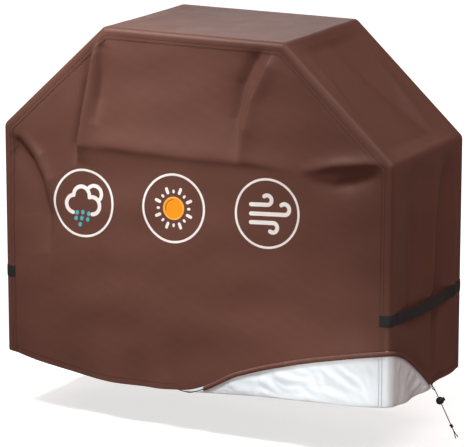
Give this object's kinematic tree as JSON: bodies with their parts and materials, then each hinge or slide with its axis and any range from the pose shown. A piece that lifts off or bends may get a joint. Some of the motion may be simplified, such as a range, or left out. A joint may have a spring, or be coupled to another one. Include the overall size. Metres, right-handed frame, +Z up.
{
  "type": "grill cover",
  "caption": "Full-length sewn fabric cover for a cart grill, with sloped shoulders, bowed hem, hem drawcord with a push-button cord lock and webbing handles.",
  "frame": {"origin": "centre of the top panel's inner face, where the cover rests on the grill's closed lid", "axes": "+X to the viewer's right along the cover's width, -Y towards the front panel, +Z up"},
  "size_m": [1.557, 0.5749, 1.3655],
  "materials": {
    "cover_fabric": "brown coated fabric, silver coating inside",
    "thread": "brown polyester topstitch",
    "handle_thread": "black topstitch",
    "drawcord": "braided elastic cord",
    "cord_tip": "sealed light cord ends",
    "lock_plastic": "black moulded plastic",
    "spring_steel": "drawn wire",
    "webbing": "black woven webbing",
    "print_white": "off-white transfer print",
    "print_teal": "teal transfer print",
    "print_orange": "orange transfer print"
  },
  "bodies": {
    "root": {"wrap_panel": "cover_fabric", "front_panel": "cover_fabric", "back_panel": "cover_fabric", "hem_casing": "cover_fabric", "front_seam_stitching": "thread", "back_seam_stitching": "thread", "hem_stitching": "thread", "hem_drawcord": "drawcord", "drawcord_strand_front": "drawcord", "drawcord_strand_rear": "drawcord", "cord_knot": "drawcord", "cord_tips": "cord_tip", "left_handle_ends": "webbing", "right_handle_ends": "webbing", "left_handle_stitching": "handle_thread", "right_handle_stitching": "handle_thread", "rain_print_white": "print_white", "rain_print_drops": "print_teal", "sun_print_white": "print_white", "sun_print_disc": "print_orange", "wind_print_white": "print_white"},
    "right_handle": {"right_handle_strap": "webbing"},
    "left_handle": {"left_handle_strap": "webbing"},
    "cord_lock": {"cord_lock_body": "lock_plastic", "cord_lock_spring": "spring_steel"},
    "lock_button": {"cord_lock_button": "lock_plastic"}
  },
  "joints": [
    {"name": "right_handle_swing", "type": "hinge", "parent": "root", "child": "right_handle", "pos_m": [0.7361, 0, -0.86], "axis": [0, -1, 0], "range_deg": [0, 115]},
    {"name": "left_handle_swing", "type": "hinge", "parent": "root", "child": "left_handle", "pos_m": [-0.7361, 0, -0.86], "axis": [0, 1, 0], "range_deg": [0, 115]},
    {"name": "cord_lock_slide", "type": "slide", "parent": "root", "child": "cord_lock", "axis": [0.357, 0.204, -0.9116], "range_m": [-0.018, 0.078]},
    {"name": "cord_lock_press", "type": "slide", "parent": "cord_lock", "child": "lock_button", "axis": [-0.7915, -0.4523, -0.4112], "range_m": [0, 0.003], "stiffness_N_per_m": 400, "springref_m": -0.003, "deforming": ["cord_lock_spring"]}
  ]
}
